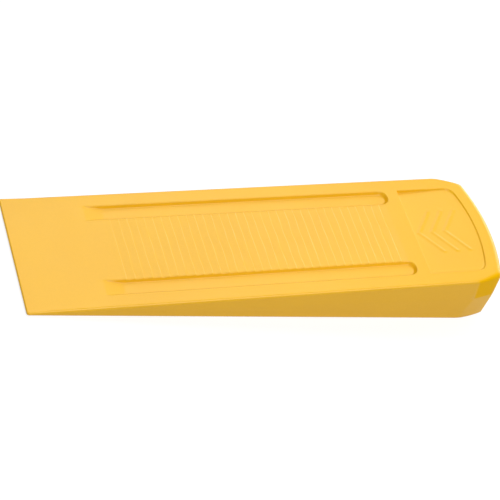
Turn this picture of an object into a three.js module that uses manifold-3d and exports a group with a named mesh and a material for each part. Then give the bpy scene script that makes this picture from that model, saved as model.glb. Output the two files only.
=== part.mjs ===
// A solid moulded driving wedge that also serves as a chock. It has a thin tip, a thick butt that is
// rounded in plan with its two corners cut off, and two flat bearing faces. Each face carries a field
// of low saw-tooth grip ribs between two long grooves, and a shallow sunk panel near the butt.
//
// Millimetres, +Z up. The lower bearing face lies on z = 0, +X runs from the tip to the butt, and +Y
// runs across. The origin is the centre of the rectangle under the wedge.

import * as THREE from "three";
import { ConvexGeometry } from "three/addons/geometries/ConvexGeometry.js";
import { mergeVertices } from "three/addons/utils/BufferGeometryUtils.js";
import Module from "manifold-3d";

// Overall size
const LENGTH = 230;
const WIDTH = 67;
const TIP_THICKNESS = 1.3;
const WEDGE_ANGLE = THREE.MathUtils.degToRad(6.7);
const SLOPE = Math.tan(WEDGE_ANGLE);

// Butt outline, seen from above, at the upper face, at the ridge round the walls and at the lower
// face: where each corner cut starts, its angle to the side, and how far the crown reaches
const BUTT_RADIUS = 100;
const BUTT_ARC_STEPS = 14;
const UPPER_OUTLINE = { cutStart: 210.3, cutAngle: 18.2, crown: 229.3 };
const RIDGE_OUTLINE = { cutStart: 213.3, cutAngle: 15.6, crown: 230 };
const LOWER_OUTLINE = { cutStart: 210.4, cutAngle: 14.3, crown: 230 };
// How far the middle of a corner cut bulges at a face, fading to a straight cut at the ridge
const CUT_BULGE = 0.5;

// The ridge is the line where the draft of the walls turns. It levels out where the corner cuts start
const RIDGE_SHARE = 0.53;
const SIDE_DRAFT = 0.25;

// Rounding where a face meets the walls. Along a corner cut it grows from its side end to its butt end
const TIP_EDGE_RADIUS = 0.55;
const UPPER_EDGES = { side: 1.1, cutSideEnd: 1.1, cutButtEnd: 2.2, butt: 3.2 };
const LOWER_EDGES = { side: 0.6, cutSideEnd: 0.6, cutButtEnd: 1.2, butt: 1.2 };

// Grooves along each face
const GROOVE_OFFSET = 22;
const GROOVE_START = 36;
const GROOVE_RAMP = 10;
const GROOVE_END = 183.7;
const GROOVE_WIDTH = 8.2;
const GROOVE_DEPTH = 1.9;
const GROOVE_STEPS = 14;
// The groove's wall from its edge to its floor, as how far it has drawn in at each share of the depth
const GROOVE_WALL = [
  { inset: 0, share: 0 },
  { inset: 0.55, share: 0.79 },
  { inset: 1, share: 1 },
];

// Grip ribs between the grooves: each rises slowly towards the butt and drops at its crest
const RIB_COUNT = 34;
const RIB_PITCH = 3.95;
const RIB_FIRST_CREST = 47;
const RIB_HEIGHT = 0.26;
const RIB_DROP_LENGTH = 0.45;
const RIB_HALF_WIDTH = 18;

// Sunk panel near the butt
const PANEL_START = 189.5;
const PANEL_CROWN = 221.8;
const PANEL_END_RADIUS = 84;
const PANEL_HALF_WIDTH = 26.2;
const PANEL_CORNER_RADIUS = 5.2;
const PANEL_START_DEPTH = 1.7;
const PANEL_END_DEPTH = 0.6;

// Raised chevrons on the upper panel, pointing to the tip
const CHEVRON_COUNT = 3;
const CHEVRON_FIRST_POINT = 192;
const CHEVRON_PITCH = 6.5;
const CHEVRON_HALF_SPAN = 13;
const CHEVRON_SWEEP = 9;
const CHEVRON_STROKE = 1.8;
const CHEVRON_HEIGHT = 0.32;

const CLEARANCE = 2;
const BODY_COLOR = 0xefb500;

const wasm = await Module();
wasm.setup();

// A closed three.js geometry as a solid.
function solidOf(geometry) {
  const bare = geometry.index ? geometry.toNonIndexed() : geometry.clone();
  bare.deleteAttribute("normal");
  bare.deleteAttribute("uv");
  const merged = mergeVertices(bare, 1e-4);
  return new wasm.Manifold(
    new wasm.Mesh({
      numProp: 3,
      vertProperties: merged.attributes.position.array,
      triVerts: new Uint32Array(merged.index.array),
    }),
  );
}

// A solid as a three.js geometry with flat facets.
function geometryOf(solid) {
  const mesh = solid.getMesh();
  const indexed = new THREE.BufferGeometry();
  indexed.setAttribute("position", new THREE.BufferAttribute(mesh.vertProperties, 3));
  indexed.setIndex(new THREE.BufferAttribute(mesh.triVerts, 1));
  const faceted = indexed.toNonIndexed();
  faceted.computeVertexNormals();
  return faceted;
}

// The height of the upper face above the lower face.
function thicknessAt(x) {
  return TIP_THICKNESS + SLOPE * x;
}

// The height of the ridge above the lower face.
function ridgeHeightAt(x) {
  return RIDGE_SHARE * thicknessAt(Math.min(x, RIDGE_OUTLINE.cutStart));
}

// A half-way outline, from the one at the ridge (share 0) to the one at a face (share 1).
function outlineBetween(face, share) {
  return {
    cutStart: THREE.MathUtils.lerp(RIDGE_OUTLINE.cutStart, face.cutStart, share),
    cutAngle: THREE.MathUtils.lerp(RIDGE_OUTLINE.cutAngle, face.cutAngle, share),
    crown: THREE.MathUtils.lerp(RIDGE_OUTLINE.crown, face.crown, share),
  };
}

// The points of an outline, drawn in by the given amounts at its tip, sides, corner cuts and butt. They
// are only ever used for a convex hull, so their order doesn't matter.
function outlinePoints(outline, inset) {
  const half = WIDTH / 2 - inset.side;
  const arcCentre = outline.crown - inset.butt - BUTT_RADIUS;
  const cutAngle = THREE.MathUtils.degToRad(outline.cutAngle);
  const across = Math.sin(cutAngle);
  const along = Math.cos(cutAngle);
  const cutDistance = across * outline.cutStart + along * (WIDTH / 2);
  const cutStart = (cutDistance - inset.cutSideEnd - along * half) / across;
  const buttEndDistance = cutDistance - inset.cutButtEnd - across * arcCentre;
  const arcHalfAngle = Math.asin(buttEndDistance / BUTT_RADIUS) - cutAngle;
  const points = [new THREE.Vector2(inset.tip, -half), new THREE.Vector2(cutStart, -half)];
  for (let i = 0; i <= BUTT_ARC_STEPS; i++) {
    const angle = arcHalfAngle * ((2 * i) / BUTT_ARC_STEPS - 1);
    const x = arcCentre + BUTT_RADIUS * Math.cos(angle);
    points.push(new THREE.Vector2(x, BUTT_RADIUS * Math.sin(angle)));
  }
  points.push(new THREE.Vector2(cutStart, half), new THREE.Vector2(inset.tip, half));
  const arcEnd = points[points.length - 3];
  const middleX = (arcEnd.x + cutStart) / 2 + inset.bulge * across;
  const middleY = (arcEnd.y + half) / 2 + inset.bulge * along;
  points.push(new THREE.Vector2(middleX, middleY), new THREE.Vector2(middleX, -middleY));
  return points;
}

// How far a rounded edge of this radius draws in at this depth below its face.
function edgeInset(radius, depth) {
  const left = Math.max(radius - depth, 0);
  return radius - Math.sqrt(radius * radius - left * left);
}

// One outline of the upper or lower half, at a depth below its face.
function levelPoints(isUpper, depth) {
  const ridge = ridgeHeightAt(LENGTH);
  const halfThickness = isUpper ? thicknessAt(LENGTH) - ridge : ridge;
  const share = Math.max(1 - depth / halfThickness, 0);
  const face = isUpper ? UPPER_OUTLINE : LOWER_OUTLINE;
  const edges = isUpper ? UPPER_EDGES : LOWER_EDGES;
  const points = outlinePoints(outlineBetween(face, share), {
    tip: edgeInset(TIP_EDGE_RADIUS, depth),
    side: SIDE_DRAFT * share + edgeInset(edges.side, depth),
    cutSideEnd: edgeInset(edges.cutSideEnd, depth),
    cutButtEnd: edgeInset(edges.cutButtEnd, depth),
    butt: edgeInset(edges.butt, depth),
    bulge: CUT_BULGE * share,
  });
  return points.map((p) => {
    const top = thicknessAt(p.x);
    const turn = ridgeHeightAt(p.x);
    const z = isUpper ? Math.max(top - depth, turn) : Math.min(depth, turn);
    return new THREE.Vector3(p.x, p.y, z);
  });
}

// The plain convex wedge, without any feature on its faces.
function wedgeBlank() {
  const points = [];
  for (const isUpper of [true, false]) {
    const edges = isUpper ? UPPER_EDGES : LOWER_EDGES;
    const depths = [0, 0.15, 0.4, 0.7, 1].map((share) => share * edges.butt);
    const sideDepths = [edges.side / 4, TIP_EDGE_RADIUS, edges.side];
    for (const depth of [...depths, ...sideDepths, LENGTH]) {
      points.push(...levelPoints(isUpper, depth));
    }
  }
  return solidOf(new ConvexGeometry(points));
}

// The cutters below are drawn in face coordinates: x from the tip, y across, z out of the face.

// A long channel with a flat floor and steep walls. Its floor ramps down from the face and its far
// end is round.
function grooveCutter(middle) {
  const halfWidth = GROOVE_WIDTH / 2;
  const endCentre = GROOVE_END - halfWidth;
  const points = [];
  for (let i = 0; i <= GROOVE_STEPS; i++) {
    const side = Math.cos((Math.PI * i) / GROOVE_STEPS);
    const reach = Math.sin((Math.PI * i) / GROOVE_STEPS);
    const x = endCentre + halfWidth * reach;
    points.push(new THREE.Vector3(x, middle + halfWidth * side, CLEARANCE));
    for (const { inset, share } of GROOVE_WALL) {
      const radius = halfWidth - inset;
      const depth = -GROOVE_DEPTH * share;
      points.push(new THREE.Vector3(endCentre + radius * reach, middle + radius * side, depth));
    }
  }
  for (const side of [-1, 1]) {
    points.push(new THREE.Vector3(GROOVE_START, middle + halfWidth * side, 0));
    points.push(new THREE.Vector3(GROOVE_START, middle + halfWidth * side, CLEARANCE));
    for (const { inset, share } of GROOVE_WALL) {
      const y = middle + (halfWidth - inset) * side;
      points.push(new THREE.Vector3(GROOVE_START + GROOVE_RAMP, y, -GROOVE_DEPTH * share));
    }
  }
  return solidOf(new ConvexGeometry(points));
}

// The valleys between the grip ribs, as one saw-toothed bar.
function ribCutter() {
  const profile = new THREE.Shape();
  profile.moveTo(RIB_FIRST_CREST, CLEARANCE);
  profile.lineTo(RIB_FIRST_CREST, 0);
  for (let i = 0; i < RIB_COUNT; i++) {
    const crest = RIB_FIRST_CREST + i * RIB_PITCH;
    profile.lineTo(crest + RIB_DROP_LENGTH, -RIB_HEIGHT);
    profile.lineTo(crest + RIB_PITCH, 0);
  }
  profile.lineTo(RIB_FIRST_CREST + RIB_COUNT * RIB_PITCH, CLEARANCE);
  const bar = new THREE.ExtrudeGeometry(profile, { depth: 2 * RIB_HALF_WIDTH, bevelEnabled: false });
  bar.rotateX(Math.PI / 2);
  bar.translate(0, RIB_HALF_WIDTH, 0);
  return solidOf(bar);
}

// The plan of the sunk panel: straight start and sides, and a bowed end with rounded corners.
function panelShape() {
  const centre = PANEL_CROWN - PANEL_END_RADIUS;
  const r = PANEL_CORNER_RADIUS;
  const cornerY = PANEL_HALF_WIDTH - r;
  const turn = Math.asin(cornerY / (PANEL_END_RADIUS - r));
  const cornerX = centre + (PANEL_END_RADIUS - r) * Math.cos(turn);
  const shape = new THREE.Shape();
  shape.moveTo(PANEL_START, -PANEL_HALF_WIDTH);
  shape.lineTo(cornerX, -PANEL_HALF_WIDTH);
  shape.absarc(cornerX, -cornerY, r, -Math.PI / 2, -turn, false);
  shape.absarc(centre, 0, PANEL_END_RADIUS, -turn, turn, false);
  shape.absarc(cornerX, cornerY, r, turn, Math.PI / 2, false);
  shape.lineTo(PANEL_START, PANEL_HALF_WIDTH);
  shape.closePath();
  return shape;
}

// The sunk panel, whose floor is deepest at its start and rises towards the butt.
function panelCutter() {
  const thick = CLEARANCE + PANEL_START_DEPTH;
  const pocket = new THREE.ExtrudeGeometry(panelShape(), {
    depth: thick,
    bevelEnabled: false,
    curveSegments: 8,
  });
  const rise = (PANEL_START_DEPTH - PANEL_END_DEPTH) / (PANEL_CROWN - PANEL_START);
  const tilt = new THREE.Matrix4().set(1, 0, 0, 0, 0, 1, 0, 0, rise, 0, 1, 0, 0, 0, 0, 1);
  pocket.translate(-PANEL_START, 0, -PANEL_START_DEPTH);
  pocket.applyMatrix4(tilt);
  pocket.translate(PANEL_START, 0, 0);
  return solidOf(pocket);
}

// One raised chevron standing on the panel's floor.
function chevron(pointX) {
  const floorDepth =
    PANEL_START_DEPTH +
    ((PANEL_END_DEPTH - PANEL_START_DEPTH) * (pointX - PANEL_START)) / (PANEL_CROWN - PANEL_START);
  const shape = new THREE.Shape();
  shape.moveTo(pointX, 0);
  shape.lineTo(pointX + CHEVRON_SWEEP, -CHEVRON_HALF_SPAN);
  shape.lineTo(pointX + CHEVRON_SWEEP + CHEVRON_STROKE, -CHEVRON_HALF_SPAN);
  shape.lineTo(pointX + CHEVRON_STROKE, 0);
  shape.lineTo(pointX + CHEVRON_SWEEP + CHEVRON_STROKE, CHEVRON_HALF_SPAN);
  shape.lineTo(pointX + CHEVRON_SWEEP, CHEVRON_HALF_SPAN);
  shape.closePath();
  const bar = new THREE.ExtrudeGeometry(shape, { depth: CLEARANCE, bevelEnabled: false });
  bar.translate(0, 0, -floorDepth - CLEARANCE + CHEVRON_HEIGHT);
  return solidOf(bar);
}

// Everything cut out of one face, in face coordinates.
function faceCutters(hasChevrons) {
  let pocket = panelCutter();
  if (hasChevrons) {
    for (let i = 0; i < CHEVRON_COUNT; i++) {
      pocket = pocket.subtract(chevron(CHEVRON_FIRST_POINT + i * CHEVRON_PITCH));
    }
  }
  return ribCutter()
    .add(grooveCutter(GROOVE_OFFSET))
    .add(grooveCutter(-GROOVE_OFFSET))
    .add(pocket);
}

// Face coordinates to the upper face, which climbs from the top of the tip.
function ontoUpperFace(solid) {
  const climb = new THREE.Matrix4();
  climb.set(1, 0, 0, 0, 0, 1, 0, 0, SLOPE, 0, 1, TIP_THICKNESS, 0, 0, 0, 1);
  return solidOf(geometryOf(solid).applyMatrix4(climb));
}

// Face coordinates to the lower face, turned over about the x axis.
function ontoLowerFace(solid) {
  return solidOf(geometryOf(solid).rotateX(Math.PI));
}

function wedgeBody() {
  const upper = ontoUpperFace(faceCutters(true));
  const lower = ontoLowerFace(faceCutters(false));
  const geometry = geometryOf(wedgeBlank().subtract(upper).subtract(lower));
  const material = new THREE.MeshStandardMaterial({
    color: BODY_COLOR,
    roughness: 0.45,
    metalness: 0,
  });
  const mesh = new THREE.Mesh(geometry, material);
  mesh.name = "wedge_body";
  mesh.position.set(-LENGTH / 2, 0, 0);
  return mesh;
}

const wedge = new THREE.Group();
wedge.add(wedgeBody());

export default wedge;
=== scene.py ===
"""A golden-yellow moulded driving wedge on a pale studio floor.

The wedge is one moulding, so it is one piece. Its surface is a fine mesh made of an upper face, a
lower face and the wall round them. The shape is worked out in millimetres, with x from the tip, y
across and z up from the lower face, and is then placed in the box of the CAD node that it replaces.
"""

import math

import bpy
import numpy as np
from mathutils import Matrix, Vector


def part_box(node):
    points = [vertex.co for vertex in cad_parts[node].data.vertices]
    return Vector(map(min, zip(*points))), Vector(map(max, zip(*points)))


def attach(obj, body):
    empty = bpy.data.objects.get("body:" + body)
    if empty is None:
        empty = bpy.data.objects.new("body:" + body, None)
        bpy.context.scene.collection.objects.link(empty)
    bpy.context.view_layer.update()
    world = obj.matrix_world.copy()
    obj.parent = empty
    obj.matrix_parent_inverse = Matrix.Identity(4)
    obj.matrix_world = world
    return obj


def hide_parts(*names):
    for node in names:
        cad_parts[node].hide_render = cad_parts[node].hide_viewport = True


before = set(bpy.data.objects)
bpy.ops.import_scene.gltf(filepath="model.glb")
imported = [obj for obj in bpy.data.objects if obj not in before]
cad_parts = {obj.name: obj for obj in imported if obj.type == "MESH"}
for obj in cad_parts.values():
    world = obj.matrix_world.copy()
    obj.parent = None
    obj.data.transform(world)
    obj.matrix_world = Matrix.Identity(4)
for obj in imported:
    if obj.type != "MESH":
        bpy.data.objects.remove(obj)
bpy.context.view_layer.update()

CAD_NODE = "wedge_body"
MM = 0.001

# ---------------------------------------------------------------------------------------------
# Driving dimensions in millimetres, and angles in degrees
# ---------------------------------------------------------------------------------------------

node_low, node_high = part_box(CAD_NODE)
LENGTH = (node_high.x - node_low.x) / MM
WIDTH = (node_high.y - node_low.y) / MM
TIP_THICKNESS = 1.3
WEDGE_ANGLE = 6.7
SLOPE = math.tan(math.radians(WEDGE_ANGLE))

# Outlines seen from above: where each corner cut starts, its angle to the side, and how far the
# crown of the butt reaches. The ridge is the line round the walls where their draft turns.
BUTT_RADIUS = 100.0
RIDGE = {"cut_start": 213.3, "cut_angle": 15.6, "crown": LENGTH}
UPPER = {"cut_start": 210.3, "cut_angle": 18.2, "crown": LENGTH - 0.7}
LOWER = {"cut_start": 210.4, "cut_angle": 14.3, "crown": LENGTH}
# How far the middle of a corner cut bulges at a face, fading to a straight cut at the ridge
CUT_BULGE = 0.5
# The ridge's height as a share of the thickness, and how far a face's sides lie inside the ridge
RIDGE_SHARE = 0.53
SIDE_DRAFT = 0.25

# Rounding where a face meets the walls. Along a corner cut it grows from its side end to its butt end
TIP_EDGE = 0.55
UPPER_EDGES = {"side": 1.1, "cut_side_end": 1.1, "cut_butt_end": 2.2, "butt": 3.2}
LOWER_EDGES = {"side": 0.6, "cut_side_end": 0.6, "cut_butt_end": 1.2, "butt": 1.2}
# Rounding seen from above: of the upright edges, of the same corners near the face, and of the tip
UPRIGHT_EDGE = 0.8
FACE_CORNER_EDGES = (3.0, 2.0)
FACE_CORNER_DEPTH = 0.8
TIP_CORNER = 1.0

# Grooves along each face. The wall slope is depth gained per distance inside the groove's edge
GROOVE_OFFSET = 22.0
GROOVE_START = 36.0
GROOVE_RAMP = 10.0
GROOVE_END = 183.7
GROOVE_WIDTH = 8.2
GROOVE_DEPTH = 1.9
GROOVE_WALL_SLOPE = 2.75
GROOVE_EDGE_SOFTNESS = 0.16
GROOVE_FLOOR_SOFTNESS = 0.7
# How far outside its edge a groove's softened turn reaches, and over what length it fades there
GROOVE_REACH = 0.9
GROOVE_REACH_FADE = 0.5

# Grip ribs between the grooves: each rises slowly to its crest and then drops over RIB_DROP
RIB_COUNT = 34
RIB_PITCH = 3.95
RIB_FIRST_CREST = 47.0
RIB_HEIGHT = 0.26
RIB_DROP = 0.45
RIB_END = 18.3
RIB_END_FADE = 0.5
# Small faults of the ribs: how far a crest strays along the wedge and how much its height varies
RIB_WANDER = 0.16
RIB_UNEVENNESS = 0.22
RIB_NOISE_WAVES = 6
RIB_NOISE_LIMIT = 2.0
# The wander is read from the noise a part of a rib away from the unevenness, so the two differ
WANDER_OFFSET = 0.37
WANDER_END_FADE = 2.0
WANDER_SIDE_FADE = 1.2
UPPER_SEED = 11
LOWER_SEED = 23

# Sunk panel near the butt. PANEL_WALL is the width of its steep walls
PANEL_START = 189.5
PANEL_CROWN = 221.8
PANEL_END_RADIUS = 84.0
PANEL_HALF_WIDTH = 26.2
PANEL_CORNER = 5.2
PANEL_START_DEPTH = 1.7
PANEL_END_DEPTH = 0.6
PANEL_WALL = 0.6

# Raised chevrons on the upper panel
CHEVRON_COUNT = 3
CHEVRON_FIRST_POINT = 192.0
CHEVRON_PITCH = 6.5
CHEVRON_HALF_SPAN = 13.0
CHEVRON_SWEEP = 9.0
CHEVRON_STROKE = 1.8
CHEVRON_HEIGHT = 0.32
# The width over which a chevron rises, and the share of it that lies outside its outline
CHEVRON_SOFTNESS = 0.6
CHEVRON_OUTER_SHARE = 0.35

# Levels of the wall, as (depth below the face, share of the way from there to the ridge)
FACE_LEVEL = (0.0, 0.0)
RIDGE_LEVEL = (0.0, 1.0)
WALL_SHARES = (0.08, 0.5, 0.95)
UPPER_EDGE_RINGS = 10
LOWER_EDGE_RINGS = 7

# Distances between mesh lines: wide on plain ground, fine where the surface turns
LAND_STEP = 3.5
RAMP_STEP = 1.0
ROUND_END_STEP = 0.22
PLAIN_END_STEP = 0.8
RIBS_ACROSS_STEP = 1.8
GROOVE_WALL_STEP = 0.19
GROOVE_FLOOR_STEP = 0.8
MARGIN_STEP = 1.7
PANEL_START_STEP = 0.12
PANEL_FLOOR_STEP = 0.5
PANEL_END_STEP = 0.11
CHEVRON_ACROSS_STEP = 0.46
PANEL_SIDE_STEP = 0.14
TIP_ROWS = 4
TIP_COLUMNS = 3
# Mesh lines along each rib, as distances past its crest
RIB_LINES = (-0.14, 0.0, 0.2, RIB_DROP, 0.65, 1.6, 2.8)
# How far the fine lines reach outside and inside a groove's edge, and round the other features
FINE_OUTSIDE_GROOVE = 0.6
FINE_INSIDE_GROOVE = 1.3
FINE_BEFORE_RIBS = 0.2
FINE_PANEL_START = 1.1
FINE_PANEL_END = 1.3
FINE_PANEL_SIDE = 1.9
FINE_PAST_CHEVRON = 0.9
# Mesh lines as shares of the way: before the panel, from the panel to the butt, along a corner cut
SEAM_SHARES = (0.0, 0.4, 0.75, 0.93)
RIM_SHARES = (0.0, 0.04, 0.1, 0.22, 0.38, 0.54, 0.68, 0.78, 0.86, 0.93, 1.0)
CUT_SHARES = (0.0, 0.03, 0.07, 0.12, 0.25, 0.42, 0.6, 0.76, 0.87, 0.92, 0.96, 1.0)

# Where the mesh changes from the ribbed part to the panel part
RIBBED_END = 186.4
BUTT_PART_START = 187.2
# How far inside the butt edge the mesh line that follows the panel's end must stay
PANEL_LINE_MARGIN = 3.5
# The share of a half butt line that lies on the bowed part, the rest being the corner cut
BOW_SHARE = 0.8
# The most of the height between a face and the ridge that a rounded edge may take up
EDGE_SHARE = 0.87
# How far below the upper face the painted shade of the corner cuts is fully there, and the share of a
# half butt line over which it fades at both ends of a cut. This painted shade, a deeper colour and a
# dulled gloss, stands in for the dark reflection that these cuts show.
PAINTED_SHADE_FULL_DEPTH = 0.4
PAINTED_SHADE_FADE = 0.02

# Slack for rounding errors, and the least length to divide by
SLACK = 1e-6
TINY = 1e-9


# ---------------------------------------------------------------------------------------------
# Shape of the blank
# ---------------------------------------------------------------------------------------------


def top_at(x):
    """Height of the upper face above the lower face."""
    return TIP_THICKNESS + SLOPE * x


def ridge_at(x):
    """Height of the ridge, which levels out where the corner cuts start."""
    return RIDGE_SHARE * top_at(np.minimum(x, RIDGE["cut_start"]))


def half_height(is_upper, x):
    """From the face to the ridge."""
    return top_at(x) - ridge_at(x) if is_upper else ridge_at(x)


def edge_inset(radius, depth):
    """How far a rounded edge draws in at a depth below its face."""
    left = np.maximum(radius - depth, 0.0)
    return radius - np.sqrt(radius * radius - left * left)


def smooth_step(value):
    t = np.clip(value, 0.0, 1.0)
    return t * t * (3.0 - 2.0 * t)


def soft_positive(value, softness):
    """The value where it is positive and nothing where it is negative, with a rounded turn."""
    return 0.5 * (value + np.sqrt(value * value + softness * softness))


def soft_lesser(first, second, softness):
    """The lesser of two values, with a rounded turn where they cross."""
    return second - soft_positive(second - first, softness)


# ---------------------------------------------------------------------------------------------
# Relief of a face, as a height above or below it
# ---------------------------------------------------------------------------------------------


def groove_relief(x, y):
    """Two long channels with flat floors, steep walls, a ramped start and a round end."""
    half_width = GROOVE_WIDTH / 2
    end_centre = GROOVE_END - half_width
    past_end = np.maximum(x - end_centre, 0.0)
    inside = half_width - np.hypot(past_end, np.abs(y) - GROOVE_OFFSET)
    ramp = np.clip((x - GROOVE_START) / GROOVE_RAMP, 0.0, 1.0)
    wall = GROOVE_WALL_SLOPE * soft_positive(inside, GROOVE_EDGE_SOFTNESS)
    depth = soft_lesser(wall, GROOVE_DEPTH * ramp, GROOVE_FLOOR_SOFTNESS * ramp)
    near = smooth_step((inside + GROOVE_REACH) / GROOVE_REACH_FADE)
    return -near * depth


def rib_noise(generator, count):
    """Smooth unevenness along each rib: one row of wave heights and phases per rib."""
    heights = generator.normal(0.0, 1.0, (RIB_COUNT + 1, count))
    phases = generator.uniform(0.0, 2 * math.pi, (RIB_COUNT + 1, count))
    heights[-1] = 0.0
    return heights / math.sqrt(count / 2), phases


def noise_at(noise, rib, y):
    """Unevenness at a rib number, which may lie between two ribs, and a place across."""
    heights, phases = noise
    lower = np.clip(np.floor(rib).astype(int), 0, RIB_COUNT - 1)
    share = np.clip(rib - lower, 0.0, 1.0)
    total = np.zeros(np.broadcast(rib, y).shape)
    for wave in range(heights.shape[1]):
        turns = (wave + 1) * math.pi * y / (2 * RIB_END)
        first = heights[lower, wave] * np.sin(turns + phases[lower, wave])
        second = heights[lower + 1, wave] * np.sin(turns + phases[lower + 1, wave])
        total += (1 - share) * first + share * second
    return total


def rib_zone(x, y):
    """One in the middle of the ribbed area, fading to nothing at its edges."""
    last = RIB_FIRST_CREST + RIB_COUNT * RIB_PITCH
    start = smooth_step((x - RIB_FIRST_CREST) / WANDER_END_FADE)
    end = smooth_step((last - x) / WANDER_END_FADE)
    return start * end * smooth_step((RIB_END - np.abs(y)) / WANDER_SIDE_FADE)


def rib_relief(x, y, noise):
    """Saw teeth that rise towards the butt and drop at each crest. The crests are level with the face."""
    travel = (x - RIB_FIRST_CREST) / RIB_PITCH
    number = np.floor(travel + SLACK)
    inside = (number >= 0) & (number < RIB_COUNT)
    past_crest = (travel - number) * RIB_PITCH
    drop = np.clip(past_crest / RIB_DROP, 0.0, 1.0)
    climb = np.clip((past_crest - RIB_DROP) / (RIB_PITCH - RIB_DROP), 0.0, 1.0)
    depth = RIB_HEIGHT * np.maximum(drop - climb, 0.0)
    wave = np.clip(noise_at(noise, travel, y), -RIB_NOISE_LIMIT, RIB_NOISE_LIMIT)
    unevenness = 1.0 + RIB_UNEVENNESS * wave
    across = smooth_step((RIB_END - np.abs(y)) / RIB_END_FADE)
    return -depth * unevenness * across * inside


def panel_distance(x, y):
    """Distance inside the panel's outline, negative outside it."""
    centre = PANEL_CROWN - PANEL_END_RADIUS
    corner_y = PANEL_HALF_WIDTH - PANEL_CORNER
    reach = PANEL_END_RADIUS - PANEL_CORNER
    corner_x = centre + math.sqrt(reach**2 - corner_y**2)
    side = np.abs(y)
    straight = np.minimum(x - PANEL_START, PANEL_HALF_WIDTH - side)
    end = PANEL_END_RADIUS - np.hypot(x - centre, side)
    corner = PANEL_CORNER - np.hypot(x - corner_x, side - corner_y)
    turn = math.asin(corner_y / reach)
    in_corner = (x > corner_x) & (side > corner_y) & (np.arctan2(side, x - centre) > turn)
    return np.where(in_corner, corner, np.minimum(straight, end))


def panel_relief(x, y):
    """A sunk panel, deepest at its start, with steep softened walls."""
    share = np.clip((x - PANEL_START) / (PANEL_CROWN - PANEL_START), 0.0, 1.0)
    depth = PANEL_START_DEPTH + (PANEL_END_DEPTH - PANEL_START_DEPTH) * share
    return -depth * smooth_step(panel_distance(x, y) / PANEL_WALL)


def chevron_relief(x, y):
    """Raised chevrons pointing to the tip."""
    side = np.abs(y)
    lean = CHEVRON_HALF_SPAN / math.hypot(CHEVRON_HALF_SPAN, CHEVRON_SWEEP)
    height = np.zeros(np.broadcast(x, y).shape)
    for i in range(CHEVRON_COUNT):
        point = CHEVRON_FIRST_POINT + i * CHEVRON_PITCH
        past_front = x - point - side * CHEVRON_SWEEP / CHEVRON_HALF_SPAN
        inside = lean * np.minimum(past_front, CHEVRON_STROKE - past_front)
        inside = np.minimum(inside, CHEVRON_HALF_SPAN - side)
        rise = smooth_step(inside / CHEVRON_SOFTNESS + CHEVRON_OUTER_SHARE)
        height = np.maximum(height, rise)
    return CHEVRON_HEIGHT * height


# ---------------------------------------------------------------------------------------------
# Mesh lines
# ---------------------------------------------------------------------------------------------


def spread(start, stop, step):
    """Even values from start towards stop, without stop."""
    count = max(1, round((stop - start) / step))
    return [start + (stop - start) * i / count for i in range(count)]


def mirrored(values):
    """Values from the middle out to one side, as one list from side to side."""
    return np.array([-v for v in reversed(values[1:])] + list(values))


def ribbed_rows():
    """Distances from the tip of the mesh lines across the ribbed part."""
    fine_end = GROOVE_END + FINE_OUTSIDE_GROOVE
    rows = spread(TIP_EDGE, TIP_EDGE + TIP_CORNER, TIP_CORNER / TIP_ROWS)
    rows += spread(TIP_EDGE + TIP_CORNER, GROOVE_START, LAND_STEP)
    rows += spread(GROOVE_START, RIB_FIRST_CREST - FINE_BEFORE_RIBS, RAMP_STEP)
    for i in range(RIB_COUNT):
        crest = RIB_FIRST_CREST + i * RIB_PITCH
        rows += [crest + past for past in RIB_LINES]
    rows += spread(RIB_FIRST_CREST + RIB_COUNT * RIB_PITCH, fine_end, ROUND_END_STEP)
    rows += spread(fine_end, RIBBED_END, PLAIN_END_STEP)
    return np.array(rows + [RIBBED_END])


def ribbed_columns(edge):
    """Places across of the mesh lines along the ribbed part, out to the edge of the face."""
    inner = GROOVE_OFFSET - GROOVE_WIDTH / 2
    outer = GROOVE_OFFSET + GROOVE_WIDTH / 2
    inner_wall = (inner - FINE_OUTSIDE_GROOVE, inner + FINE_INSIDE_GROOVE)
    outer_wall = (outer - FINE_INSIDE_GROOVE, outer + FINE_OUTSIDE_GROOVE)
    columns = spread(0.0, inner_wall[0], RIBS_ACROSS_STEP)
    columns += spread(*inner_wall, GROOVE_WALL_STEP)
    columns += spread(inner_wall[1], outer_wall[0], GROOVE_FLOOR_STEP)
    columns += spread(*outer_wall, GROOVE_WALL_STEP)
    columns += spread(outer_wall[1], edge - TIP_CORNER, MARGIN_STEP)
    columns += spread(edge - TIP_CORNER, edge, TIP_CORNER / TIP_COLUMNS)
    return mirrored(columns + [edge])


def butt_rows():
    """Mesh lines of the butt part, as (span, share): between which two guide lines, and how far."""
    length = PANEL_CROWN - PANEL_START
    fine_start = FINE_PANEL_START
    fine_end = length - FINE_PANEL_END
    panel = spread(0.0, fine_start, PANEL_START_STEP)
    panel += spread(fine_start, fine_end, PANEL_FLOOR_STEP)
    panel += spread(fine_end, length, PANEL_END_STEP)
    rows = [(0, share) for share in SEAM_SHARES]
    rows += [(1, x / length) for x in panel]
    rows += [(2, share) for share in RIM_SHARES]
    return rows


def butt_columns(bow_edge):
    """Places along a half butt line from 0 at the middle to 1 at the side."""
    past_chevrons = CHEVRON_HALF_SPAN + FINE_PAST_CHEVRON
    panel_side = PANEL_HALF_WIDTH - FINE_PANEL_SIDE
    across = spread(0.0, past_chevrons, CHEVRON_ACROSS_STEP)
    across += spread(past_chevrons, panel_side, MARGIN_STEP)
    across += spread(panel_side, bow_edge, PANEL_SIDE_STEP)
    bow = [BOW_SHARE * y / bow_edge for y in across]
    cut = [BOW_SHARE + (1 - BOW_SHARE) * share for share in CUT_SHARES]
    return mirrored(bow + cut)


# ---------------------------------------------------------------------------------------------
# Rings round the wedge
# ---------------------------------------------------------------------------------------------


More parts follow.
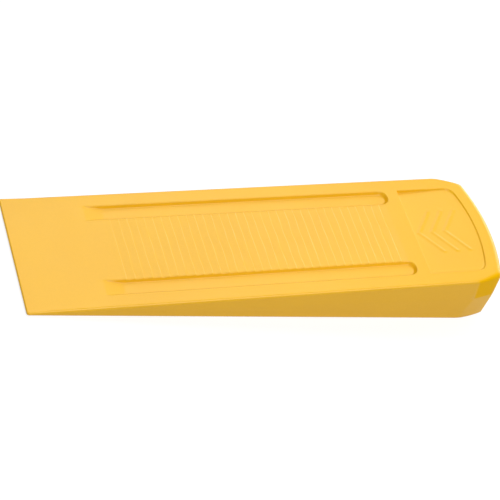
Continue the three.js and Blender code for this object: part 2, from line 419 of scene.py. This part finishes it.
class Half:
    """The upper or the lower half of the wedge, and the outline of each level of its wall."""

    def __init__(self, is_upper):
        self.is_upper = is_upper
        self.face = UPPER if is_upper else LOWER
        self.edges = UPPER_EDGES if is_upper else LOWER_EDGES
        self.deepest_edge = self.edges["butt"]

    def levels(self):
        """(depth, share) of each ring: a depth below the face, and then a share of the way to the ridge."""
        count = UPPER_EDGE_RINGS if self.is_upper else LOWER_EDGE_RINGS
        turns = [0.5 * math.pi * i / count for i in range(count + 1)]
        edge = [(self.deepest_edge * (1 - math.cos(turn)), 0.0) for turn in turns]
        wall = [(self.deepest_edge, share) for share in WALL_SHARES]
        return edge + wall

    def depth(self, level, x):
        """Depth below the face at a distance from the tip. Thin places squeeze the rounded edge."""
        depth, share = level
        height = half_height(self.is_upper, x)
        squeeze = np.minimum(1.0, EDGE_SHARE * height / self.deepest_edge)
        return depth * squeeze * (1 - share) + height * share

    def height(self, level, x):
        depth = self.depth(level, x)
        return top_at(x) - depth if self.is_upper else depth

    def outline(self, level):
        """The corner cut and the butt bow at a level, as a dict of plain numbers."""
        depth = float(self.depth(level, np.array(LENGTH)))
        share = 1.0 - depth / float(half_height(self.is_upper, np.array(LENGTH)))
        mixed = {key: RIDGE[key] + (self.face[key] - RIDGE[key]) * share for key in RIDGE}
        angle = math.radians(mixed["cut_angle"])
        side = WIDTH / 2 - self.side_inset(level, mixed["cut_start"])
        distance = math.sin(angle) * mixed["cut_start"] + math.cos(angle) * WIDTH / 2
        side_end = distance - float(edge_inset(self.edges["cut_side_end"], depth))
        butt_end = distance - float(edge_inset(self.edges["cut_butt_end"], depth))
        centre = mixed["crown"] - float(edge_inset(self.edges["butt"], depth)) - BUTT_RADIUS
        return {
            "side": side,
            "bulge": Vector((math.sin(angle), math.cos(angle))) * CUT_BULGE * share,
            "corner": (side_end - math.cos(angle) * side) / math.sin(angle),
            "centre": centre,
            "bow": math.asin((butt_end - math.sin(angle) * centre) / BUTT_RADIUS) - angle,
        }

    def side_inset(self, level, x):
        depth = self.depth(level, x)
        left = half_height(self.is_upper, x) - depth
        draft = SIDE_DRAFT * left / half_height(self.is_upper, LENGTH)
        radius = np.minimum(self.edges["side"], EDGE_SHARE * half_height(self.is_upper, x))
        return draft + edge_inset(radius, depth)

    def tip_inset(self, level):
        return float(edge_inset(TIP_EDGE, self.depth(level, np.array(0.0))))

    def butt_line(self, level, places):
        """Points from side to side along the butt, with x, y and the share of corner cut."""
        line = self.outline(level)
        size = np.abs(places)
        turn = line["bow"] * np.minimum(size / BOW_SHARE, 1.0)
        x = line["centre"] + BUTT_RADIUS * np.cos(turn)
        y = BUTT_RADIUS * np.sin(turn)
        cut = np.maximum((size - BOW_SHARE) / (1 - BOW_SHARE), 0.0)
        bulge = 4.0 * cut * (1.0 - cut)
        bow_x, bow_y = x[-1], y[-1]
        x = np.where(cut > 0, bow_x + (line["corner"] - bow_x) * cut + line["bulge"].x * bulge, x)
        y = np.where(cut > 0, bow_y + (line["side"] - bow_y) * cut + line["bulge"].y * bulge, y)
        y = y * np.sign(places)
        return np.stack([x, y], axis=1)

    def side_line(self, level, stations):
        """Points along the side at +y. Stations run from 0 at the tip to 1 at the corner cut."""
        tip = self.tip_inset(level)
        corner = self.outline(level)["corner"]
        x = tip + (corner - tip) * stations
        y = WIDTH / 2 - self.side_inset(level, x)
        return np.stack([x, y], axis=1)


def softened(points, corner, width):
    """Rounds the corner at one index of a line of points, over a width on each side of it."""
    at = points[corner].copy()
    before = at - points[corner - 1]
    after = points[corner + 1] - at
    before /= np.linalg.norm(before)
    after /= np.linalg.norm(after)
    rounded = points.copy()
    for step, direction in ((-1, before), (1, after)):
        i = corner
        while 0 <= i < len(points):
            along = step * np.linalg.norm(points[i] - at)
            if abs(along) >= width:
                break
            t = (along + width) / (2 * width)
            rounded[i] = at - width * (1 - t) ** 2 * before + width * t**2 * after
            i += step
    return rounded


# ---------------------------------------------------------------------------------------------
# Faces and walls
# ---------------------------------------------------------------------------------------------


def rounded_tip(points, tip, edge):
    """Rounds the two corners at the tip, seen from above, of lines that meet there at tip and edge."""
    x, y = points[..., 0], points[..., 1]
    along = np.clip(1.0 - (x - tip) / TIP_CORNER, 0.0, 1.0)
    across = np.clip(1.0 - (edge - np.abs(y)) / TIP_CORNER, 0.0, 1.0)
    reach = np.maximum(np.hypot(along, across), TINY)
    shift = TIP_CORNER * (1.0 - np.maximum(along, across) / reach)
    return np.stack([x + along * shift, y - np.sign(y) * across * shift], axis=-1)


def fitted_across(y, nominal_edge, edge):
    """Stretches only the plain margin, so that a line of points ends at the edge it has here."""
    margin = GROOVE_OFFSET + GROOVE_WIDTH / 2 + GROOVE_REACH
    size = np.abs(y)
    stretch = (edge - margin) / (nominal_edge - margin)
    return np.sign(y) * np.where(size > margin, margin + (size - margin) * stretch, size)


class WedgeMesh:
    """Points, faces and the painted shade mask of the corner cuts of the whole wedge, in millimetres from
    its tip.
    """

    def __init__(self):
        self.points = []
        self.painted_shades = []
        self.faces = []
        self.count = 0
        upper, lower = Half(True), Half(False)
        self.nominal_edge = WIDTH / 2 - float(upper.side_inset(FACE_LEVEL, RIDGE["cut_start"]))
        bow_edge = float(upper.butt_line(FACE_LEVEL, np.array([BOW_SHARE]))[0, 1])
        self.rows = ribbed_rows()
        self.columns = ribbed_columns(self.nominal_edge)
        self.spans = butt_rows()
        self.places = butt_columns(bow_edge)
        ridge_ring = self.add_ring(upper, RIDGE_LEVEL)
        self.add_half(upper, ridge_ring, np.random.default_rng(UPPER_SEED), True)
        self.add_half(lower, ridge_ring, np.random.default_rng(LOWER_SEED), False)

    def add(self, points, painted_shade=0.0):
        """Adds points of any array shape (..., 3) and returns their numbers in the same shape."""
        shape = points.shape[:-1]
        size = int(np.prod(shape))
        self.points.append(points.reshape(-1, 3))
        self.painted_shades.append(np.broadcast_to(painted_shade, shape).reshape(-1))
        numbers = np.arange(self.count, self.count + size).reshape(shape)
        self.count += size
        return numbers

    def add_grid(self, numbers, is_upper):
        """Quads between neighbouring numbers. Rows run to the butt and columns to +y."""
        corners = [numbers[:-1, :-1], numbers[1:, :-1], numbers[1:, 1:], numbers[:-1, 1:]]
        quads = np.stack(corners if is_upper else corners[::-1], axis=-1)
        self.faces += quads.reshape(-1, 4).tolist()

    def add_seam(self, row, row_y, next_row, next_y, is_upper):
        """Triangles between two rows with different numbers of points."""
        i, j = 0, 0
        while i < len(row) - 1 or j < len(next_row) - 1:
            can_step = i < len(row) - 1
            must_step = j == len(next_row) - 1
            if can_step and (must_step or row_y[i + 1] <= next_y[j + 1]):
                triangle = [row[i], next_row[j], row[i + 1]]
                i += 1
            else:
                triangle = [row[i], next_row[j], next_row[j + 1]]
                j += 1
            self.faces.append([int(n) for n in (triangle if is_upper else triangle[::-1])])

    def butt_part_side(self, half):
        """Distances from the tip, along the side of a face, of the butt part's mesh lines."""
        corner = half.outline(FACE_LEVEL)["corner"]
        return self.between_guides(np.array([corner]), np.array([self.nominal_edge]))[:, 0]

    def between_guides(self, butt_x, butt_y):
        """Distances from the tip where the butt part's mesh lines cross the lines along it."""
        arc = np.sqrt(PANEL_END_RADIUS**2 - butt_y**2) + PANEL_CROWN - PANEL_END_RADIUS
        panel_end = np.minimum(arc, butt_x - PANEL_LINE_MARGIN)
        straight = np.ones_like(butt_x)
        guides = [straight * BUTT_PART_START, straight * PANEL_START, panel_end, butt_x]
        lines = [guides[i] + (guides[i + 1] - guides[i]) * share for i, share in self.spans]
        return np.array(lines)

    def ring_lines(self, half, level):
        """The tip line from +y to -y, and the line from the tip round the butt and back."""
        tip_x = half.tip_inset(FACE_LEVEL)
        corner_x = half.outline(FACE_LEVEL)["corner"]
        rows = np.concatenate([self.rows, self.butt_part_side(half)])
        side = half.side_line(level, (rows - tip_x) / (corner_x - tip_x))
        butt = half.butt_line(level, self.places)
        other_side = side * np.array([1.0, -1.0])
        line = np.concatenate([other_side, butt[1:-1], side[::-1]])
        corner = len(side) - 1
        bow_end = int(np.argmin(np.abs(self.places + BOW_SHARE)))
        nearness = max(0.0, 1.0 - level[0] / FACE_CORNER_DEPTH)
        for at, face_edge in zip((corner, corner + bow_end), FACE_CORNER_EDGES):
            width = UPRIGHT_EDGE + (face_edge - UPRIGHT_EDGE) * nearness
            line = softened(line, at, width)
            line = softened(line, len(line) - 1 - at, width)
        tip_y = fitted_across(self.columns[::-1], self.nominal_edge, side[0, 1])
        tip = np.stack([np.full(len(tip_y), half.tip_inset(level)), tip_y], axis=1)
        return tip[1:-1], line

    def lifted(self, half, level, line):
        return np.column_stack([line, half.height(level, line[:, 0])])

    def add_ring(self, half, level):
        """Adds a ring, as numbers counter-clockwise from above, from the tip's +y end."""
        tip, line = self.ring_lines(half, level)
        tip_x = half.tip_inset(level)
        tip = rounded_tip(tip, tip_x, line[-1, 1])
        line = rounded_tip(line, tip_x, np.abs(line[:, 1]))
        side_count = len(self.rows) + len(self.spans)
        # The painted shade mask: set along the upper half's corner cuts, fading at both ends of each cut
        # and in just below the face, as a stand-in for the dark reflection of these cuts
        place = np.abs(self.places)
        butt_end = smooth_step((place - BOW_SHARE) / PAINTED_SHADE_FADE)
        side_end = smooth_step((1.0 - place) / PAINTED_SHADE_FADE)
        painted_shade = np.zeros(len(line))
        painted_shade[side_count - 1 : side_count - 1 + len(place)] = butt_end * side_end
        depth, share = level
        is_painted_shade_level = half.is_upper and share < 1.0
        strength = min(1.0, depth / PAINTED_SHADE_FULL_DEPTH) if is_painted_shade_level else 0.0
        line_numbers = self.add(self.lifted(half, level, line), painted_shade * strength)
        tip_numbers = self.add(self.lifted(half, level, tip))
        return np.concatenate([line_numbers[-1:], tip_numbers, line_numbers[:-1]])

    def add_half(self, half, ridge_ring, generator, has_chevrons):
        levels = half.levels()
        face_ring = self.add_face(half, generator, has_chevrons)
        rings = [face_ring] + [self.add_ring(half, level) for level in levels[1:]] + [ridge_ring]
        closed = np.array([np.append(ring, ring[0]) for ring in rings])
        self.add_grid(closed, half.is_upper)

    def add_face(self, half, generator, has_chevrons):
        """Adds a bearing face and returns the ring of points round it."""
        _, line = self.ring_lines(half, FACE_LEVEL)
        side_count = len(self.rows) + len(self.spans)
        side = line[:side_count]
        butt = line[side_count - 1 : side_count - 1 + len(self.places)]
        edge = -side[:, 1:2]
        noise = rib_noise(generator, RIB_NOISE_WAVES)

        ribbed_x = np.repeat(self.rows[:, None], len(self.columns), axis=1)
        ribbed_edge = edge[: len(self.rows)]
        ribbed_y = fitted_across(self.columns[None, :], self.nominal_edge, ribbed_edge)
        travel = (ribbed_x - RIB_FIRST_CREST) / RIB_PITCH
        relief = groove_relief(ribbed_x, ribbed_y) + rib_relief(ribbed_x, ribbed_y, noise)
        wander = RIB_WANDER * noise_at(noise, travel + WANDER_OFFSET, ribbed_y)
        wandered_x = ribbed_x + wander * rib_zone(ribbed_x, ribbed_y)
        plan = np.stack([wandered_x, ribbed_y], axis=-1)
        plan = rounded_tip(plan, half.tip_inset(FACE_LEVEL), ribbed_edge)
        ribbed = self.add(self.on_face(half, plan[..., 0], plan[..., 1], relief))

        plain_butt = half.butt_line(FACE_LEVEL, self.places)
        butt_x = self.between_guides(plain_butt[:, 0], plain_butt[:, 1])
        butt_edge = edge[len(self.rows) :]
        butt_y = fitted_across(plain_butt[None, :, 1], plain_butt[-1, 1], butt_edge)
        last_span = np.array([share if span == 2 else 0.0 for span, share in self.spans])[:, None]
        butt_y = butt_y + last_span * (butt[:, 1] - butt_y[-1])
        butt_x = butt_x + last_span * (butt[:, 0] - butt_x[-1])
        for column, sign in ((0, 1.0), (-1, -1.0)):
            butt_x[:, column] = side[len(self.rows) :, 0]
            butt_y[:, column] = sign * side[len(self.rows) :, 1]
        relief = panel_relief(butt_x, butt_y)
        if has_chevrons:
            relief = relief + chevron_relief(butt_x, butt_y)
        butt_part = self.add(self.on_face(half, butt_x, butt_y, relief))

        self.add_grid(ribbed, half.is_upper)
        self.add_grid(butt_part, half.is_upper)
        self.add_seam(ribbed[-1], ribbed_y[-1], butt_part[0], butt_y[0], half.is_upper)
        near_side = [ribbed[:, 0], butt_part[:, 0]]
        far_side = [butt_part[-2::-1, -1], ribbed[:0:-1, -1]]
        return np.concatenate([ribbed[0, ::-1][:-1], *near_side, butt_part[-1, 1:], *far_side])

    def on_face(self, half, x, y, relief):
        height = top_at(x) + relief if half.is_upper else -relief
        return np.stack([x, y, height], axis=-1)

    def to_object(self, name):
        """The Blender object, placed in the CAD node's box."""
        points = np.concatenate(self.points) * MM
        points += np.array([node_low.x, (node_low.y + node_high.y) / 2, node_low.z])
        mesh = bpy.data.meshes.new(name)
        mesh.from_pydata(points.tolist(), [], self.faces)
        mesh.polygons.foreach_set("use_smooth", np.ones(len(mesh.polygons), bool))
        # The painted shade mask of the upper corner cuts, which the material reads
        painted_shade = mesh.attributes.new("corner_painted_shade", "FLOAT", "POINT")
        painted_shade.data.foreach_set("value", np.concatenate(self.painted_shades).astype(np.float32))
        mesh.update()
        mesh.validate()
        piece = bpy.data.objects.new(name, mesh)
        bpy.context.scene.collection.objects.link(piece)
        return piece


# ---------------------------------------------------------------------------------------------
# Materials
# ---------------------------------------------------------------------------------------------


PLASTIC_DEEP = (0.845, 0.445, 0.003, 1.0)
PLASTIC_PALE = (0.885, 0.480, 0.005, 1.0)
# Painted shade of the upper corner cuts: a deeper colour and a dulled gloss that stand in for the dark
# reflection these cuts show
CORNER_CUT_PAINTED_SHADE_COLOUR = (0.865, 0.462, 0.001, 1.0)
PLASTIC_IOR = 1.5
PLASTIC_SPECULAR = 0.5
CORNER_CUT_PAINTED_SHADE_SPECULAR = 0.02
ROUGHNESS_RANGE = (0.29, 0.38)
DRIFT_RANGE = (-0.4, 1.4)
SPECKLE_RANGE = (0.975, 1.025)
GRAIN_SHARE = 0.12
BUMP_STRENGTH = 0.10
# Sizes of the material's patterns, in metres
DRIFT_SIZE = 0.045
CLOUD_SIZE = 0.012
RIPPLE_SIZE = 0.009
SPECKLE_SIZE = 0.0011
GRAIN_SIZE = 0.0006
BUMP_DEPTH = 0.0004
MOTTLE_SIZE = 0.2

FLOOR_PALENESS = 0.36
FLOOR_MOTTLE = 0.01
FLOOR_ROUGHNESS = 0.9
# The floor's own glow that the camera sees near the wedge and far from it, so that no horizon shows
FLOOR_GLOW = (0.69, 1.05)
FLOOR_GLOW_SPAN = (0.3, 0.9)
# What the floor throws on the wedge in front of it and behind it, and where the one turns to the other
FLOOR_BOUNCE = (0.22, 0.78)
FLOOR_BOUNCE_SPAN = (-0.10, 0.25)
WHITE = (1.0, 1.0, 1.0, 1.0)


class NodeTree:
    """A small helper to build a material's nodes."""

    def __init__(self, tree):
        self.tree = tree
        self.tree.nodes.clear()

    def add(self, kind, values=None, **settings):
        """Adds a node. Values are numbers, colours or sockets for its inputs, by name or index."""
        node = self.tree.nodes.new(kind)
        for name, value in settings.items():
            setattr(node, name, value)
        for key, value in (values or {}).items():
            if isinstance(value, bpy.types.NodeSocket):
                self.tree.links.new(value, node.inputs[key])
            else:
                node.inputs[key].default_value = value
        return node

    def math(self, operation, first, second):
        return self.add("ShaderNodeMath", {0: first, 1: second}, operation=operation).outputs[0]

    def scaled(self, value, low, high, span=(0.0, 1.0)):
        """A value in a span, taken to the range from low to high."""
        start, end = span
        values = {"Value": value, "From Min": start, "From Max": end, "To Min": low, "To Max": high}
        return self.add("ShaderNodeMapRange", values).outputs[0]

    def noise(self, size, detail, roughness=0.5):
        """A noise whose features have this size in metres."""
        place = self.add("ShaderNodeTexCoord").outputs["Object"]
        values = {"Vector": place, "Scale": 1.0 / size, "Detail": detail, "Roughness": roughness}
        return self.add("ShaderNodeTexNoise", values).outputs["Fac"]


def moulded_plastic():
    """Golden-yellow satin plastic: slight colour drift, moulding grain, faint gloss variation, and painted
    shade on the upper corner cuts.
    """
    material = bpy.data.materials.new("body_plastic")
    material.use_nodes = True
    nodes = NodeTree(material.node_tree)

    painted_shade = nodes.add("ShaderNodeAttribute", attribute_name="corner_painted_shade").outputs["Fac"]
    drift = nodes.noise(DRIFT_SIZE, 3.0)
    colour = nodes.add(
        "ShaderNodeMix",
        {"Factor": nodes.scaled(drift, *DRIFT_RANGE), "A": PLASTIC_DEEP, "B": PLASTIC_PALE},
        data_type="RGBA",
    )
    # Painted shade: a deeper colour on the upper corner cuts
    painted_shade_colour = nodes.add(
        "ShaderNodeMix",
        {"Factor": painted_shade, "A": colour.outputs["Result"], "B": CORNER_CUT_PAINTED_SHADE_COLOUR},
        data_type="RGBA",
    )
    speckle = nodes.scaled(nodes.noise(SPECKLE_SIZE, 2.0), *SPECKLE_RANGE)
    tint = nodes.add(
        "ShaderNodeHueSaturation", {"Value": speckle, "Color": painted_shade_colour.outputs["Result"]}
    )
    cloud = nodes.noise(CLOUD_SIZE, 4.0)
    grain = nodes.noise(GRAIN_SIZE, 3.0, 0.6)
    ripple = nodes.noise(RIPPLE_SIZE, 2.0)
    height = nodes.math("ADD", nodes.math("MULTIPLY", grain, GRAIN_SHARE), ripple)
    bump = nodes.add(
        "ShaderNodeBump", {"Height": height, "Strength": BUMP_STRENGTH, "Distance": BUMP_DEPTH}
    )
    shader = nodes.add(
        "ShaderNodeBsdfPrincipled",
        {
            "Base Color": tint.outputs["Color"],
            "Roughness": nodes.scaled(cloud, *ROUGHNESS_RANGE),
            "IOR": PLASTIC_IOR,
            # Painted shade: the gloss drops on the upper corner cuts, so they lose their reflection
            "Specular IOR Level": nodes.scaled(painted_shade, PLASTIC_SPECULAR, CORNER_CUT_PAINTED_SHADE_SPECULAR),
            "Normal": bump.outputs["Normal"],
        },
    )
    nodes.add("ShaderNodeOutputMaterial", {"Surface": shader.outputs["BSDF"]})
    return material


def floor_material():
    """A pale matte studio floor that can't be seen from below. It glows as painted light: white to the
    camera, and on the wedge dimmer in front than behind.
    """
    material = bpy.data.materials.new("studio_floor")
    material.use_nodes = True
    nodes = NodeTree(material.node_tree)
    blotches = nodes.noise(MOTTLE_SIZE, 2.0)
    mottle = nodes.scaled(blotches, FLOOR_PALENESS - FLOOR_MOTTLE, FLOOR_PALENESS)
    colour = nodes.add("ShaderNodeCombineColor", {0: mottle, 1: mottle, 2: mottle})
    place = nodes.add("ShaderNodeNewGeometry").outputs["Position"]
    across = nodes.add("ShaderNodeSeparateXYZ", {0: place}).outputs["Y"]
    # Painted light: the floor's glow lights the wedge dimmer in front than behind, and shows white to the
    # camera
    bounce = nodes.scaled(across, *FLOOR_BOUNCE, FLOOR_BOUNCE_SPAN)
    distance = nodes.add("ShaderNodeVectorMath", {0: place}, operation="LENGTH").outputs["Value"]
    glow = nodes.scaled(distance, *FLOOR_GLOW, FLOOR_GLOW_SPAN)
    seen = nodes.add("ShaderNodeLightPath").outputs["Is Camera Ray"]
    paint = nodes.add(
        "ShaderNodeBsdfPrincipled",
        {
            "Base Color": colour.outputs["Color"],
            "Roughness": FLOOR_ROUGHNESS,
            "Specular IOR Level": 0.0,
            "Emission Color": WHITE,
            "Emission Strength": nodes.scaled(seen, bounce, glow),
        },
    )
    clear = nodes.add("ShaderNodeBsdfTransparent")
    backside = nodes.add("ShaderNodeNewGeometry").outputs["Backfacing"]
    mixed = nodes.add(
        "ShaderNodeMixShader", {0: backside, 1: paint.outputs["BSDF"], 2: clear.outputs["BSDF"]}
    )
    nodes.add("ShaderNodeOutputMaterial", {"Surface": mixed.outputs["Shader"]})
    return material


# ---------------------------------------------------------------------------------------------
# Studio
# ---------------------------------------------------------------------------------------------

FLOOR_HALF_SIZE = 6.0
FLOOR_GAP = 0.0002
BACKDROP_LIGHT = 1.05
AMBIENT_LIGHT = 0.18
SENSOR_WIDTH = 36.0
NEAREST_SEEN = 0.01


def add_floor():
    """A large plain square just under the wedge."""
    size = FLOOR_HALF_SIZE
    height = node_low.z - FLOOR_GAP
    signs = ((-1, -1), (1, -1), (1, 1), (-1, 1))
    corners = [(size * x_sign, size * y_sign, height) for x_sign, y_sign in signs]
    mesh = bpy.data.meshes.new("floor")
    mesh.from_pydata(corners, [], [(0, 1, 2, 3)])
    mesh.materials.append(floor_material())
    floor = bpy.data.objects.new("floor", mesh)
    bpy.context.scene.collection.objects.link(floor)


def add_world():
    """A white backdrop for the camera, and a dimmer even light on the object."""
    world = bpy.data.worlds.new("studio")
    world.use_nodes = True
    nodes = NodeTree(world.node_tree)
    seen = nodes.add("ShaderNodeLightPath").outputs["Is Camera Ray"]
    light = nodes.add("ShaderNodeBackground", {"Color": WHITE, "Strength": AMBIENT_LIGHT})
    backdrop = nodes.add("ShaderNodeBackground", {"Color": WHITE, "Strength": BACKDROP_LIGHT})
    mixed = nodes.add("ShaderNodeMixShader", {0: seen, 1: light.outputs[0], 2: backdrop.outputs[0]})
    nodes.add("ShaderNodeOutputWorld", {"Surface": mixed.outputs["Shader"]})
    bpy.context.scene.world = world


def add_soft_light(name, azimuth, elevation, distance, width, height, radiance):
    """A soft rectangle of light that faces the wedge from a direction and a distance in metres."""
    lamp = bpy.data.lights.new(name, "AREA")
    lamp.shape = "RECTANGLE"
    lamp.size = width
    lamp.size_y = height
    lamp.energy = radiance * math.pi * width * height
    light = bpy.data.objects.new(name, lamp)
    towards = direction(azimuth, elevation)
    light.location = centre + towards * distance
    light.rotation_euler = towards.to_track_quat("Z", "Y").to_euler()
    light.visible_camera = False
    bpy.context.scene.collection.objects.link(light)


def direction(azimuth, elevation):
    """A unit vector at an azimuth from +y towards +x, and an elevation, in degrees."""
    a, e = math.radians(azimuth), math.radians(elevation)
    return Vector((math.sin(a) * math.cos(e), math.cos(a) * math.cos(e), math.sin(e)))


def add_camera(azimuth, elevation, roll, distance, aim, lens):
    """A camera that looks along an azimuth and down by an elevation, and is rolled clockwise."""
    forward = direction(azimuth, -elevation)
    level_right = direction(azimuth + 90, 0)
    level_up = level_right.cross(forward)
    turn = math.radians(roll)
    right = level_right * math.cos(turn) + level_up * math.sin(turn)
    up = right.cross(forward)
    data = bpy.data.cameras.new("camera")
    data.lens = lens
    data.sensor_width = SENSOR_WIDTH
    data.clip_start = NEAREST_SEEN
    camera = bpy.data.objects.new("camera", data)
    pose = Matrix((right, up, -forward)).transposed().to_4x4()
    pose.translation = centre + aim - forward * distance
    camera.matrix_world = pose
    bpy.context.scene.collection.objects.link(camera)
    bpy.context.scene.camera = camera


# ---------------------------------------------------------------------------------------------
# The scene
# ---------------------------------------------------------------------------------------------

centre = (node_low + node_high) / 2

wedge = WedgeMesh().to_object("wedge_moulding")
wedge.data.materials.append(moulded_plastic())
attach(wedge, "root")
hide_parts(CAD_NODE)

add_floor()
add_world()
add_soft_light(
    "back_softbox", azimuth=1.5, elevation=50.0, distance=1.2, width=1.0, height=0.85, radiance=2.4
)
add_soft_light(
    "butt_softbox", azimuth=60.0, elevation=18.0, distance=1.0, width=0.75, height=0.6, radiance=3.0
)
add_soft_light(
    "front_softbox", azimuth=172.0, elevation=58.0, distance=1.0, width=0.92, height=0.77, radiance=3.8
)
add_camera(
    azimuth=34.07,
    elevation=42.39,
    roll=25.8,
    distance=0.86206,
    aim=Vector((-0.0077, -0.0055, 0.0)),
    lens=137.4,
)
bpy.context.scene.view_settings.view_transform = "Standard"
